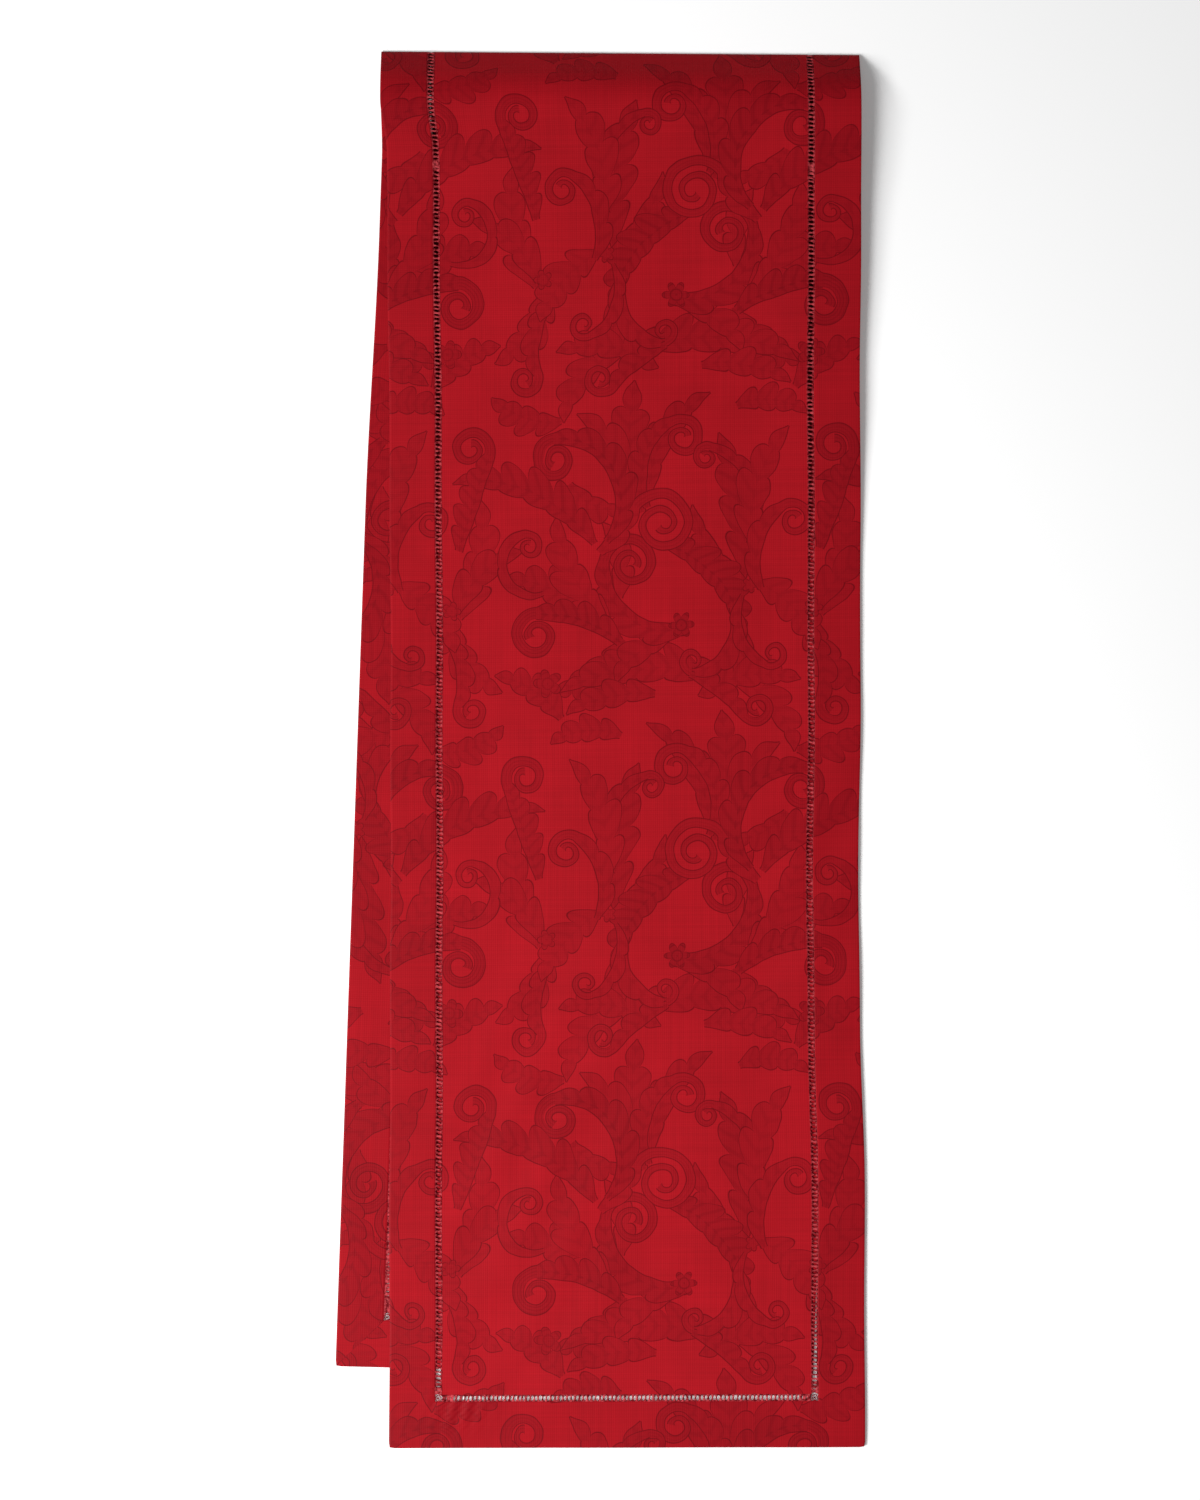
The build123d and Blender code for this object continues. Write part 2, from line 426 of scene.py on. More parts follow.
def scroll_group():
    """A band that winds inwards to an eye, narrowing as it goes."""
    words = [("Where", "Vector"), ("Centre", "Vector"), ("Hand", "Vector"), ("Start", "Float"),
             ("Turn", "Float"), ("Radius", "Float"), ("Growth", "Float"), ("Whole turns", "Float"),
             ("Width", "Float"), ("Fill", "Float")]
    tree, given, result = new_group("scroll", words, [("Where", "Vector")])
    where, centre, hand, start, turn, radius, growth, whole, width, fill = list(given)[:10]
    distance, angle = polar(tree, where, centre, hand, start)
    spine = add(tree, "Math", angle, growth, radius, operation="MULTIPLY_ADD")
    gap = add(tree, "Math", spine, distance, operation="SUBTRACT")
    pitch = add(tree, "Math", growth, -full_turn, operation="MULTIPLY")
    winding = add(tree, "Math", gap, pitch, operation="DIVIDE")
    winding = add(tree, "Math", winding, operation="ROUND")
    winding = add(tree, "Math", winding, whole, operation="MINIMUM")
    winding = add(tree, "Math", winding, 0.0, operation="MAXIMUM")
    total = add(tree, "Math", winding, full_turn, angle, operation="MULTIPLY_ADD")
    spine = add(tree, "Math", total, growth, radius, operation="MULTIPLY_ADD")
    off = add(tree, "Math", distance, spine, operation="SUBTRACT")
    place = add(tree, "Math", total, turn, operation="DIVIDE")
    taper = add(tree, "MapRange", place, 0.0, 0.9, 1.0, 0.42)
    half = add(tree, "Math", taper, width, operation="MULTIPLY")
    knob = add(tree, "MapRange", place, 0.86, 0.97, 1.0, 1.7)
    half = add(tree, "Math", half, knob, operation="MULTIPLY")
    hatch = add(tree, "Math", off, 2.3, operation="MULTIPLY")
    hatch = add(tree, "Math", hatch, operation="SINE")
    tree.links.new(draw_over(tree, where, off, half, place, fill, hatch), result[0])
    return tree


def leaf_group():
    """A leaf or stem along an arc, with scalloped sides and veins that run out to them."""
    words = [("Where", "Vector"), ("Centre", "Vector"), ("Hand", "Vector"), ("Start", "Float"),
             ("Turn", "Float"), ("Radius", "Float"), ("Root", "Float"), ("Tip", "Float"),
             ("Belly", "Float"), ("Lobes", "Float"), ("Depth", "Float"), ("Hollow side", "Float"),
             ("Fill", "Float")]
    tree, given, result = new_group("leaf", words, [("Where", "Vector")])
    where, centre, hand, start, turn, radius, root, tip, belly, lobes, depth, hollow, fill = list(given)[:13]
    distance, angle = polar(tree, where, centre, hand, start)
    off = add(tree, "Math", distance, radius, operation="SUBTRACT")
    place = add(tree, "Math", angle, turn, operation="DIVIDE")
    stem = add(tree, "MapRange", place, 0.0, 1.0, root, tip)
    outer = add(tree, "Math", off, 0.0, operation="GREATER_THAN")
    outer = add(tree, "MapRange", outer, 0.0, 1.0, hollow, 1.0)
    rest = add(tree, "Math", 1.0, place, operation="SUBTRACT")
    blade = add(tree, "Math", place, rest, operation="MULTIPLY")
    blade = add(tree, "Math", blade, belly, operation="MULTIPLY")
    blade = add(tree, "Math", blade, outer, operation="MULTIPLY")
    depth = add(tree, "Math", depth, outer, operation="MULTIPLY")
    far = add(tree, "Math", off, operation="ABSOLUTE")
    count = add(tree, "Math", place, lobes, operation="MULTIPLY")
    swept = add(tree, "Math", far, -lobe_sweep, count, operation="MULTIPLY_ADD")
    lobe = add(tree, "Math", swept, pi, operation="MULTIPLY")
    lobe = add(tree, "Math", lobe, operation="SINE")
    lobe = add(tree, "Math", lobe, operation="ABSOLUTE")
    lobe = add(tree, "Math", lobe, 0.6, operation="POWER")
    lobe = add(tree, "Math", lobe, 1.0, operation="SUBTRACT")
    lobe = add(tree, "Math", lobe, depth, 1.0, operation="MULTIPLY_ADD")
    half = add(tree, "Math", blade, lobe, stem, operation="MULTIPLY_ADD")
    vein = add(tree, "Math", swept, 2 * full_turn, operation="MULTIPLY")
    vein = add(tree, "Math", vein, operation="SINE")
    rib = add(tree, "MapRange", far, 0.4, 1.1, 1.0, -0.1)
    vein = add(tree, "Math", vein, rib, operation="ADD")
    tree.links.new(draw_over(tree, where, off, half, place, fill, vein), result[0])
    return tree


def flower_group():
    """A small open flower with rounded petals and a ring at its middle."""
    words = [("Where", "Vector"), ("Centre", "Vector"), ("Petals", "Float"), ("Radius", "Float"),
             ("Fill", "Float")]
    tree, given, result = new_group("flower", words, [("Where", "Vector")])
    where, centre, petals, radius, fill = list(given)[:5]
    distance, angle = polar(tree, where, centre, (1.0, 1.0, 0.0), 0.0)
    beat = add(tree, "Math", petals, 0.5, operation="MULTIPLY")
    beat = add(tree, "Math", beat, angle, operation="MULTIPLY")
    beat = add(tree, "Math", beat, operation="COSINE")
    beat = add(tree, "Math", beat, operation="ABSOLUTE")
    half = add(tree, "MapRange", beat, 0.0, 1.0, 0.5, 1.0)
    half = add(tree, "Math", half, radius, operation="MULTIPLY")
    ring = add(tree, "Math", distance, 1.35, operation="MULTIPLY")
    ring = add(tree, "Math", ring, operation="COSINE")
    tree.links.new(draw_over(tree, where, distance, half, 0.5, fill, ring), result[0])
    return tree


def arc_between(start, end, turn):
    """Centre, radius and start angle of the arc between two points that turns by so many degrees."""
    turn = radians(turn)
    chord = (end[0] - start[0], end[1] - start[1])
    length = hypot(*chord)
    radius = length / (2 * sin(abs(turn) / 2))
    reach = radius * cos(turn / 2) / length
    hand = 1 if turn > 0 else -1
    centre = (
        (start[0] + end[0]) / 2 - hand * reach * chord[1],
        (start[1] + end[1]) / 2 + hand * reach * chord[0],
    )
    return centre, radius, atan2(start[1] - centre[1], start[0] - centre[0]), hand, abs(turn)


def scroll_start(centre, radius, start, turn):
    """The point where a scroll begins, and the direction it sets off in."""
    hand = 1 if turn > 0 else -1
    angle = radians(start)
    point = (centre[0] + radius * cos(angle), centre[1] + radius * sin(angle))
    return point, atan2(hand * cos(angle), -hand * sin(angle))


def stem_turn(root, point, heading):
    """How many degrees an arc turns from a root to a point where it has a given heading."""
    chord = atan2(point[1] - root[1], point[0] - root[0])
    return degrees(2 * ((heading - chord + pi) % full_turn - pi))


# Scrolls: centre, radius, start angle, turn, half width; root of the stem, its half width there
# and at its belly, its lobes; tone
scrolls = [
    ((-41, 139), 23, 184, 560, 4.6, (6, 194), 8.0, 11, 4, 0.62),
    ((-14, 106), 27, 214, 640, 4.4, (-68, 130), 5.0, 8, 2, 0.5),
    ((-104, 52), 17, 262, -500, 5.0, (-62, 120), 4.0, 13, 5, 0.66),
    ((4, 34), 17, 236, 470, 4.2, (-26, 92), 4.0, 10, 4, 0.55),
    ((97, 104), 15, 232, 450, 4.0, (70, 162), 3.6, 9, 3, 0.5),
    ((24, 50), 10, 292, -430, 3.2, (58, 124), 3.0, 7, 4, 0.6),
    ((-122, 200), 19, 268, -470, 5.4, (-50, 206), 5.0, 12, 4, 0.66),
    ((-129, 124), 11, 250, 400, 3.2, (-116, 164), 2.4, 5, 2, 0.45),
    ((12, 222), 10, 80, 380, 3.4, (46, 176), 5.0, 9, 3, 0.5),
    ((80, 216), 11, 120, -380, 3.0, (54, 166), 2.4, 6, 3, 0.5),
    ((132, 42), 17, 20, -470, 4.6, (120, 128), 4.0, 12, 5, 0.6),
    ((-66, -16), 13, 40, 430, 3.8, (-10, -44), 4.0, 9, 3, 0.55),
    ((132, 262), 13, 200, -430, 4.0, (108, 200), 3.0, 9, 3, 0.5),
]
# Leaves: root, tip, turn, half width at the belly, lobes, share of it on the hollow side, tone
leaves = [
    ((-30, 96), (-36, -14), 30, 21, 4, 1.0, 0.5),
    ((-34, 90), (-86, 14), -52, 18, 3, 0.5, 0.42),
    ((-26, 86), (28, -4), 60, 17, 4, 0.5, 0.55),
    ((54, 152), (34, 30), -30, 21, 4, 0.9, 0.55),
    ((62, 126), (94, 26), 50, 19, 4, 0.6, 0.42),
    ((58, 158), (12, 90), 50, 14, 3, 0.5, 0.5),
    ((66, 156), (118, 214), 46, 19, 4, 0.7, 0.42),
    ((-12, 124), (54, 202), 70, 21, 6, 0.4, 0.66),
    ((50, 190), (16, 252), 76, 18, 4, 0.6, 0.5),
    ((-58, 194), (-150, 152), -46, 22, 5, 0.6, 0.5),
    ((-60, 190), (-104, 98), 44, 20, 4, 0.6, 0.42),
    ((-50, 168), (-64, 104), -40, 13, 3, 0.6, 0.36),
    ((-46, 204), (-108, 246), 54, 20, 4, 0.6, 0.55),
    ((-72, 122), (-194, 70), -64, 22, 6, 0.4, 0.6),
    ((-44, -36), (102, -30), 50, 23, 6, 0.5, 0.5),
    ((-44, -40), (-98, 22), -66, 18, 4, 0.5, 0.42),
    ((-92, 72), (-44, 92), -76, 14, 3, 0.5, 0.5),
    ((120, 184), (140, 84), -40, 20, 4, 0.7, 0.42),
    ((118, 180), (176, 128), 56, 17, 3, 0.6, 0.5),
    ((112, 186), (158, 248), -52, 18, 4, 0.6, 0.42),
    ((26, 246), (104, 238), 46, 16, 4, 0.6, 0.5),
    ((-2, 200), (-54, 240), -56, 16, 3, 0.5, 0.5),
    ((100, -8), (158, -44), 44, 16, 4, 0.6, 0.5),
    ((-100, 20), (-160, -2), 50, 16, 4, 0.6, 0.5),
    ((50, 8), (110, 14), 60, 14, 4, 0.6, 0.5),
    ((-20, 250), (-96, 266), -40, 15, 4, 0.6, 0.5),
]
# Flowers: centre, petals, radius, tone
flowers = [
    ((2, 192), 6, 11, 0.72),
    ((-112, 240), 5, 12, 0.66),
    ((60, 158), 5, 7, 0.5),
    ((114, 178), 5, 8, 0.6),
]


def settled(centre, start, hand, middle):
    """Move a shape to the field where it lies nearest the middle, turned over if need be."""
    x, y = centre
    if middle[1] > 0.75 * half_repeat:
        x, y, start, hand = -x, y - half_repeat, pi - start, -hand
        middle = (-middle[0], middle[1] - half_repeat)
    elif middle[1] < -0.25 * half_repeat:
        x, y, start, hand = -x, y + half_repeat, pi - start, -hand
        middle = (-middle[0], middle[1] + half_repeat)
    if middle[0] < -0.25 * repeat_across:
        x += repeat_across
        middle = (middle[0] + repeat_across, middle[1])
    field = (int(middle[0] > 0.25 * repeat_across), int(middle[1] > 0.25 * half_repeat))
    return field, (x, y, 0.0), (1.0, float(hand), 0.0), hand * start


def figure_shapes():
    """Every shape of the design as its field, its kind and its numbers, those below first."""
    shapes = []

    def along_arc(start, end, turn, root, tip, belly, lobes, depth, hollow, fill):
        centre, radius, angle, hand, sweep = arc_between(start, end, turn)
        middle = ((start[0] + end[0]) / 2, (start[1] + end[1]) / 2)
        field, centre, hand, angle = settled(centre, angle, hand, middle)
        numbers = (centre, hand, angle, sweep, radius, root, tip, belly, lobes, depth, hollow, fill)
        shapes.append((field, "leaf", numbers))

    for root, tip, turn, belly, lobes, hollow, fill in leaves:
        along_arc(root, tip, turn, leaf_root, leaf_tip, leaf_fullness * belly, float(lobes), leaf_scallop,
                  hollow, fill)
    for centre, radius, start, turn, width, root, stem_width, belly, lobes, fill in scrolls:
        point, heading = scroll_start(centre, radius, start, turn)
        bend = stem_turn(root, point, heading)
        along_arc(root, point, bend, 0.7 * stem_width, float(width), stem_fullness * belly, float(lobes),
                  stem_scallop, stem_hollow, fill)
        sweep = radians(abs(turn))
        growth = -(radius - 1.1 * width) / sweep
        hand = 1 if turn > 0 else -1
        field, middle, hand, angle = settled(centre, radians(start), hand, centre)
        numbers = (middle, hand, angle, sweep, float(radius), growth, float(floor(sweep / full_turn)),
                   width, fill)
        shapes.append((field, "scroll", numbers))
    for centre, petals, radius, fill in flowers:
        field, middle, _, _ = settled(centre, 0.0, 1, centre)
        shapes.append((field, "flower", (middle, float(petals), radius, fill)))
    return shapes


def damask_figure():
    """The whole design as one group: from a place on the cloth in millimetres to a tone.

    The shapes are drawn one after another, each on the last one's result, field by field.
    """
    tree, given, result = new_group("damask figure", [("Where", "Vector")], [("Tone", "Float")])
    kinds = {"scroll": scroll_group(), "leaf": leaf_group(), "flower": flower_group()}
    shapes = figure_shapes()
    tone = 0.0
    for across in (0, 1):
        for along in (0, 1):
            drawn = figure_place(tree, given[0], tone, across * repeat_across / 2, along * half_repeat / 2)
            for field, kind, numbers in shapes:
                if field == (across, along):
                    drawn = add(tree, "Group", drawn, *numbers, node_tree=kinds[kind])
            tone = apart(tree, drawn)[2]
    tree.links.new(tone, result[0])
    return tree


figure_across = 47.0  # from the cloth's middle to the line that the design turns over on
figure_along = 850.0  # from the crease to the design's own origin
figure_wander = 5.0  # the spread of the drawn lines about their arcs
thread_pitch = 0.9 * mm
twist_pitch = 0.6 * mm


def waves_of(pitch):
    """Scale of a Wave Texture that rises or falls once in a pitch: it turns 20 radians in a metre."""
    return pi / (20 * pitch)


def damask(name, ground, figure, outline, roughness):
    """Mercerised cotton damask, satin figure on a plain ground, washed and pressed.

    The figure is the same thread turned over, so it is glossier than the ground and only a
    shade off it, with a fine dark outline where the weave changes.
    """
    material = bpy.data.materials.new(name)
    material.use_nodes = True
    tree = material.node_tree
    tree.nodes.clear()
    cloth = add(tree, "UVMap", uv_map="cloth")
    place = add(tree, "Mapping", cloth, (-figure_across, -figure_along, 0), (0, 0, 0), (1 / mm, 1 / mm, 1))

    # The drawn lines wander, so that no curve is a perfect arc
    wander = add(tree, "TexNoise", cloth, None, 34.0, 2.0, output=1)
    wander = add(tree, "VectorMath", wander, (0.5, 0.5, 0.5), operation="SUBTRACT")
    wander = add(tree, "VectorMath", wander, (figure_wander, figure_wander, 0.0), operation="MULTIPLY")
    place = add(tree, "VectorMath", place, wander, operation="ADD")
    tone = add(tree, "Group", place, node_tree=figure_tree)

    bodies = add(tree, "MapRange", tone, 0.0, 0.8, 0.0, 1.0)
    outlines = add(tree, "MapRange", tone, 0.78, 0.95, 0.0, 0.95)
    mixed = add(tree, "MixRGB", bodies, colour(ground), colour(figure))
    mixed = add(tree, "MixRGB", outlines, mixed, colour(outline))

    # Painted light and shade: soft lighter and darker clouds about 60 mm across, for the sheen and the soft
    # drape of the laid cloth
    painted_light_clouds = add(tree, "TexNoise", cloth, None, 16.0, 3.0, 0.6)
    painted_light_clouds = add(tree, "MapRange", painted_light_clouds, 0.3, 0.7, 0.93, 1.07)
    # Slubs: threads thicker than their neighbours, drawn twice as coarse as real ones
    weft = add(tree, "Mapping", cloth, (0, 0, 0), (0, 0, 0), (9, 900, 1))
    weft = add(tree, "TexNoise", weft, None, 1.0, 1.0, 0.5)
    warp = add(tree, "Mapping", cloth, (0, 0, 0), (0, 0, 0), (900, 9, 1))
    warp = add(tree, "TexNoise", warp, None, 1.0, 1.0, 0.5)
    threads = add(tree, "Math", weft, warp, operation="ADD")
    slubs = add(tree, "MapRange", threads, 0.7, 1.3, 0.93, 1.07)
    # The painted light and shade of the clouds, times the real tone of the slubs
    light = add(tree, "Math", painted_light_clouds, slubs, operation="MULTIPLY")
    mixed = add(tree, "VectorMath", mixed, None, None, light, operation="SCALE")

    gloss = add(tree, "MapRange", tone, 0.0, 0.8, roughness, roughness - 0.12)
    # The weave itself, coarser than the real 0.35 mm to a thread, so that it shows
    across = add(tree, "TexWave", cloth, waves_of(thread_pitch), 0.0, bands_direction="X", output=1)
    along = add(tree, "TexWave", cloth, waves_of(thread_pitch), 0.0, bands_direction="Y", output=1)
    weave = add(tree, "Math", across, along, operation="ADD")
    weave = add(tree, "Math", weave, threads, operation="ADD")
    relief = add(tree, "Bump", 0.25, 0.12 * mm, 0.1, weave)

    surface = tree.nodes.new("ShaderNodeBsdfPrincipled")
    for socket, value in (("Base Color", mixed), ("Roughness", gloss), ("Normal", relief)):
        tree.links.new(value, surface.inputs[socket])
    surface.inputs["IOR"].default_value = 1.47
    surface.inputs["Specular IOR Level"].default_value = 0.07
    surface.inputs["Sheen Weight"].default_value = 0.03
    surface.inputs["Sheen Roughness"].default_value = 0.45
    surface.inputs["Sheen Tint"].default_value = colour("#ff2a30")
    out = tree.nodes.new("ShaderNodeOutputMaterial")
    tree.links.new(surface.outputs[0], out.inputs[0])
    return material


def cotton_thread(name, dyed, worn_pale):
    """Two-ply cotton thread, matt, with the twist of its plies, its dye worn pale in patches."""
    material = bpy.data.materials.new(name)
    material.use_nodes = True
    tree = material.node_tree
    tree.nodes.clear()
    place = add(tree, "TexCoord", output=3)
    patches = add(tree, "TexNoise", place, None, 420.0, 2.0, 0.6)
    worn = add(tree, "MapRange", patches, 0.38, 0.62, 0.0, 1.0)
    mixed = add(tree, "MixRGB", worn, colour(dyed), colour(worn_pale))
    twist = add(tree, "Mapping", place, (0, 0, 0), (0, 0, radians(35)), (1, 1, 1))
    twist = add(tree, "TexWave", twist, waves_of(twist_pitch), 0.0, output=1)
    relief = add(tree, "Bump", 0.4, 0.1 * mm, 0.1, twist)
    surface = tree.nodes.new("ShaderNodeBsdfPrincipled")
    tree.links.new(mixed, surface.inputs["Base Color"])
    tree.links.new(relief, surface.inputs["Normal"])
    surface.inputs["Roughness"].default_value = 0.8
    surface.inputs["IOR"].default_value = 1.47
    surface.inputs["Specular IOR Level"].default_value = 0.05
    out = tree.nodes.new("ShaderNodeOutputMaterial")
    tree.links.new(surface.outputs[0], out.inputs[0])
    return material


figure_tree = damask_figure()
right_side = damask("cotton_damask_right_side", "#9e0f1a", "#840a15", "#68060f", 0.6)
wrong_side = damask("cotton_damask_wrong_side", "#9a101a", "#a2141e", "#7c0a14", 0.7)
# The hem's colours are the panel's a shade deeper: painted shade, standing in for the doubled cloth lying
# darker in the light
hem_side_painted_deeper = damask("cotton_damask_doubled_hem", "#980d18", "#800914", "#66060f", 0.6)
sewing_thread = cotton_thread("cotton_sewing_thread", "#58060e", "#861a26")
drawn_thread = cotton_thread("drawn_out_damask_threads", "#5e0a12", "#b84248")


# ---------------------------------------------------------------- cloth pieces

def from_fold(place):
    """Place along the cloth, at u across it, of a line parallel to the crease."""
    return lambda u: (place + u * sin(lean)) / cos(lean)


def between(low_u, high_u, starts, stops):
    """Outline of a strip of cloth between two places across it, with its right side down."""
    def outline(a, b):
        u = low_u + (high_u - low_u) * a
        b = b if high_u > low_u else 1 - b
        return u, starts(u) + (stops(u) - starts(u)) * b
    return outline


def along_end(end, way):
    """Outline of a mitred end hem, from its ladder to the cloth's end."""
    def outline(a, b):
        depth = hem_width * a
        return way * (hem_inner + depth) * (1 - 2 * b), end - way * (hem_width - depth)
    return outline


def share_of_turn(piece, part):
    """Attach a piece of the lower leaf to the lower leaf's body; bake any other piece's transform into its
    mesh.
    """
    if part == "lower":
        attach(piece, "lower_leaf")
    elif part == "swell":
        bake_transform(piece)
    else:
        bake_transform(piece)


crease_line = from_fold(0.0)
seam_line = from_fold(seam_place)
hem_high = ply * 1.5
end_cut = hem_width + ladder_width  # the panel stops this far short of the cloth's end
part_runs = {
    # part: where it starts, where it stops, way of its end, rows in the panel
    "lower": (-lower_length, 0.0, -1, 200),
    "swell": (0.0, seam_place, 0, 72),
    "upper": (seam_place, upper_length, 1, 236),
}
replaced = {"lower": ("lower",), "swell": ("swell",), "upper": ("slope", "upper")}


def declare(piece, part, word):
    """Hide the frame's parts that a piece replaces, and set it in place as share_of_turn does."""
    names = [f"{zone}_{word}" for zone in replaced[part]]
    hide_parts(*(name for name in names if name in frame["nodes"]))
    share_of_turn(piece, part)


def part_pieces(part):
    """All the cloth of one part of the runner: its panel and its hems."""
    start, stop, way, rows = part_runs[part]
    pieces = {}
    ends = {"lower": (lambda u: 0 * u - lower_length, crease_line),
            "swell": (crease_line, seam_line),
            "upper": (seam_line, lambda u: 0 * u + upper_length)}[part]

    def panel_starts(u):
        return ends[0](u) + (end_cut if way < 0 else 0)

    def panel_stops(u):
        return ends[1](u) - (end_cut if way > 0 else 0)

    panel = cut_cloth(f"{part}_panel_cloth", 62, rows,
                      between(-panel_half, panel_half, panel_starts, panel_stops), -ply / 2, ply / 2)
    wear(panel, right_side, wrong_side)
    lay_down(panel)
    pieces["panel"] = panel

    for word, side in (("left", -1), ("right", 1)):
        def starts(u):
            return ends[0](u) + (half_width - abs(u) if way < 0 else 0)

        def stops(u):
            return ends[1](u) - (half_width - abs(u) if way > 0 else 0)

        hem = cut_cloth(f"{part}_{word}_hem_cloth", 15, rows,
                        between(side * hem_inner, side * half_width, starts, stops),
                        -ply / 2, hem_high, rounded=True)
        wear(hem, hem_side_painted_deeper)
        lay_down(hem, side=side)
        pieces[f"{word}_hem"] = hem

    if way:
        end = stop if way > 0 else start
        hem = cut_cloth(f"{part}_end_hem_cloth", 15, 84, along_end(end, way), -ply / 2, hem_high,
                        rounded=True)
        wear(hem, hem_side_painted_deeper)
        lay_down(hem, end=end)
        pieces["end_hem"] = hem
    return pieces


for part in part_runs:
    for word, piece in part_pieces(part).items():
        declare(piece, part, word)
        if word == "panel":
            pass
        elif word == "end_hem":
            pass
        else:
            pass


# ---------------------------------------------------------------- hemstitching

thread_radius = 0.5 * mm
bar_radius = 0.85 * mm
stitch_size = (0.7 * mm, 0.3 * mm, 0.55 * mm)
small_stitch_size = [0.8 * size for size in stitch_size]
stitch_slant = radians(28)
wheel_radius = 2.3 * mm
wheel_thread_radius = 0.3 * mm
spoke_radius = 0.22 * mm
mitre_edge_radius = 0.24 * mm
mitre_stitch_step = 2.4 * mm
wrong_side_fan_and_shade_cover = 2.1  # how much wider the bars of the lower leaf are: partly the hemming stitches spreading them on its wrong side, partly painted shade, closing the slots where shade falls under the upper leaf's edge
bar_unevenness = 0.13
bar_slant = 0.12
corner_gathering = 1.2  # how much wider the last bars are, close to a corner
slip_stitch_size = (0.6 * mm, 0.16 * mm, 0.12 * mm)
wheel_hub_size = (0.75 * mm, 0.75 * mm, 0.45 * mm)
random = np.random.default_rng(7)


def rod(start, end, radius, sides=5):
    """A straight run of thread between two points, in the flat cloth's frame."""
    run = np.subtract(end, start)
    length = float(np.linalg.norm(run))
    alone()
    bpy.ops.mesh.primitive_cylinder_add(
        vertices=sides, radius=radius, depth=length, location=tuple(np.add(start, end) / 2),
        rotation=(0, pi / 2, atan2(run[1], run[0])))
    return bpy.context.object


def knot(place, size, slant=0.0, segments=6, rings=4):
    """One small stitch, an oval bead of thread."""
    alone()
    bpy.ops.mesh.primitive_uv_sphere_add(segments=segments, ring_count=rings, radius=1, location=place,
                                         rotation=(0, 0, slant), scale=size)
    return bpy.context.object


def bar_of_threads():
    """The threads of one bar, drawn together at their waist, across a ladder."""
    bar = rod((-ladder_width / 2 - 0.3 * mm, 0, 0), (ladder_width / 2 + 0.3 * mm, 0, 0), bar_radius, 6)
    bpy.ops.object.mode_set(mode="EDIT")
    bpy.ops.mesh.select_all(action="DESELECT")
    bpy.ops.object.mode_set(mode="OBJECT")
    for edge in bar.data.edges:
        ends = [bar.data.vertices[i].co.z for i in edge.vertices]
        edge.select = abs(ends[0] - ends[1]) > ladder_width
    bpy.ops.object.mode_set(mode="EDIT")
    bpy.ops.mesh.select_mode(type="EDGE")
    bpy.ops.mesh.subdivide(number_cuts=3)
    bpy.ops.object.mode_set(mode="OBJECT")
    points = coordinates(bar.data)
    waist = 0.8 + 1.3 * np.abs(points[:, 2] / (ladder_width / 2)) ** 3
    points[:, 0] *= 0.6
    points[:, 1] *= waist
    bar.data.vertices.foreach_set("co", points.ravel())
    return bar


def joined(name, parts):
    """Several loose runs of thread as one piece at the origin."""
    alone()
    for part in parts:
        part.select_set(True)
    bpy.context.view_layer.objects.active = parts[0]
    bpy.ops.object.join()
    piece = bpy.context.object
    bpy.ops.object.transform_apply(location=True, rotation=True, scale=True)
    piece.name = name
    piece.data.name = name
    return piece


def hemstitch_ladder(name, bays, spread, gathered, place_of):
    """A row of bars between two bound edges, one to each slot.

    spread widens every bar, gathered closes the row into the corners, and place_of(x, y) sets it
    in the cloth.
    """
    edge = ladder_width / 2 - 0.25 * mm
    parts = [bar_of_threads()]
    wear(parts[0], drawn_thread)
    for side in (-1, 1):
        parts.append(rod((side * edge, -slot_pitch / 2, 0), (side * edge, slot_pitch / 2, 0), thread_radius))
        parts.append(knot((side * (edge + 0.1 * mm), 0.1 * slot_pitch, 0), stitch_size, stitch_slant))
        parts.append(knot((side * edge, -0.42 * slot_pitch, 0), small_stitch_size, -stitch_slant))
    for part in parts[1:]:
        wear(part, sewing_thread)
    piece = joined(name, parts)
    row = piece.modifiers.new("bays", "ARRAY")
    row.count = bays
    row.use_relative_offset = False
    row.use_constant_offset = True
    row.constant_offset_displace = (0, slot_pitch, 0)
    finish_modifiers(piece)
    points = coordinates(piece.data)
    bay = np.repeat(np.arange(bays), len(points) // bays)
    middle = bay * slot_pitch
    uneven = random.normal(0, 1, (4, bays))[:, bay]
    across, along = points[:, 0], points[:, 1] - middle
    near_corner = smooth(np.maximum(4 - bay, bay - bays + 5), 0, 4) * gathered
    width = spread + bar_unevenness * uneven[0] + corner_gathering * near_corner
    loose = np.abs(across) > edge - 0.2 * mm
    across = across * (1 + 0.03 * uneven[1] * loose)
    along = along * np.where(np.abs(along) < 0.4 * slot_pitch, width, 1) + 0.12 * mm * uneven[2]
    along = along + across * (0.05 * uneven[3] + bar_slant)
    points[:, 0], points[:, 1] = place_of(across, along + middle + slot_pitch / 2)
    points[:, 2] *= 1 + 0.12 * uneven[1]
    piece.data.vertices.foreach_set("co", points.ravel())
    lay_down(piece)
    return piece


def corner_wheel(u, v):
    """Where two ladders cross: a ring of thread with eight spokes worked into a wheel."""
    alone()
    bpy.ops.mesh.primitive_torus_add(location=(u, v, 0), major_segments=16, minor_segments=6,
                                     major_radius=wheel_radius, minor_radius=wheel_thread_radius)
    parts = [bpy.context.object]
    wear(parts[0], drawn_thread)
    reach = ladder_width / 2 + 0.4 * mm
    for turn in range(4):
        arm = (reach * cos(turn * pi / 4), reach * sin(turn * pi / 4))
        parts.append(rod((u - arm[0], v - arm[1], 0), (u + arm[0], v + arm[1], 0), spoke_radius))
    parts.append(knot((u, v, 0), wheel_hub_size, 0.0, 8, 4))
    for turn in range(8):
        angle = (turn + 0.5) * pi / 4
        reach = 2.55 * mm
        parts.append(knot((u + reach * cos(angle), v + reach * sin(angle), 0), stitch_size, angle))
    for part in parts[1:]:
        wear(part, sewing_thread)
    return parts


